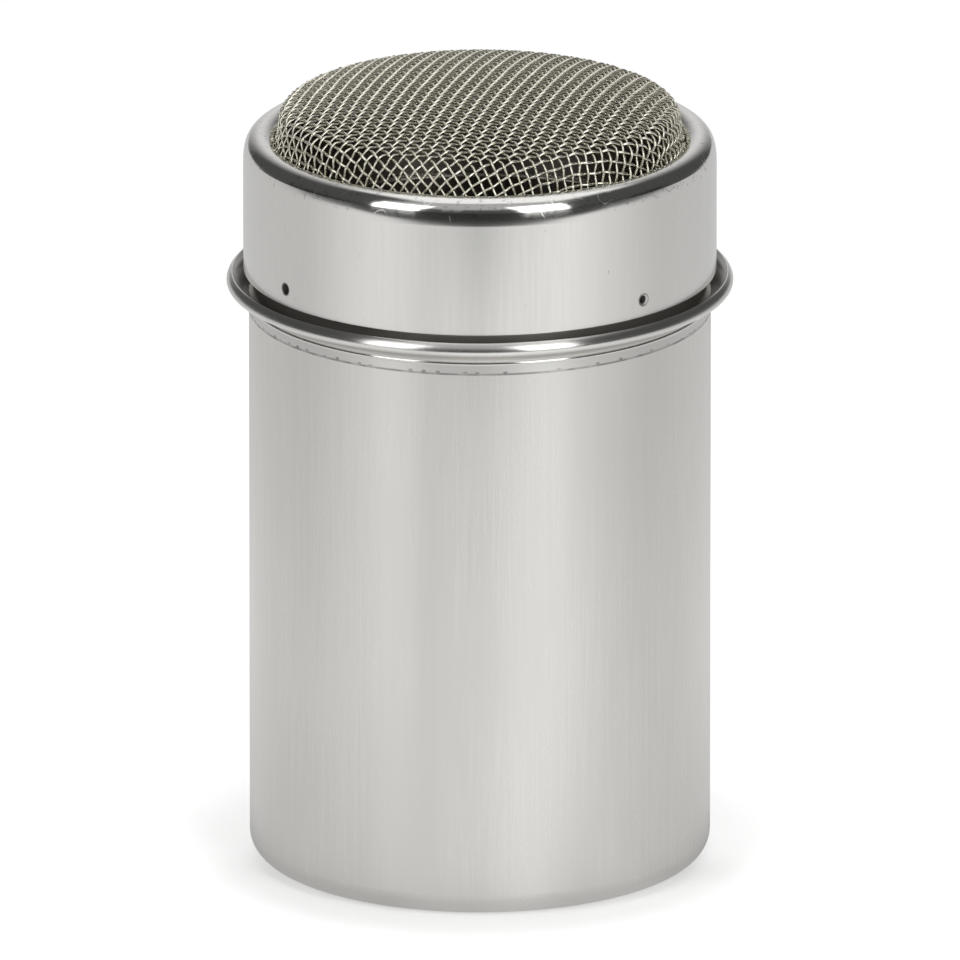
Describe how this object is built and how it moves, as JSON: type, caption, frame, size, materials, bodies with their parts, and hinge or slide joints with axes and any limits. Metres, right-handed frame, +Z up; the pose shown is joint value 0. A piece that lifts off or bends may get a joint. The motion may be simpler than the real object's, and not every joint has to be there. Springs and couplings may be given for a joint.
{
  "type": "sugar caster",
  "caption": "Cylindrical steel sugar caster: a drawn cup with a gutter collar and a push-on lid that holds a domed woven wire screen for sifting sugar.",
  "frame": {"origin": "centre of the flat base, on the table", "axes": "+Z up along the cup's axis, -Y to the front of the picture, +X to its right"},
  "size_m": [0.0768, 0.0768, 0.1213],
  "materials": {
    "cup_steel": "satin, drawn upright",
    "collar_steel": "half bright, rolled",
    "lid_steel": "satin band with a bright shoulder",
    "ring_steel": "plain sheet",
    "warp_wire": "drawn wire",
    "weft_wire": "drawn wire"
  },
  "bodies": {
    "cup": {"cup_body": "cup_steel", "gutter_collar": "collar_steel"},
    "lid": {"lid_band": "lid_steel", "screen_retaining_ring": "ring_steel", "screen_warp_wires": "warp_wire", "screen_weft_wires": "weft_wire"}
  },
  "joints": [
    {"name": "lid_lift", "type": "slide", "parent": "cup", "child": "lid", "axis": [0, 0, 1], "range_m": [0, 0.03]}
  ]
}
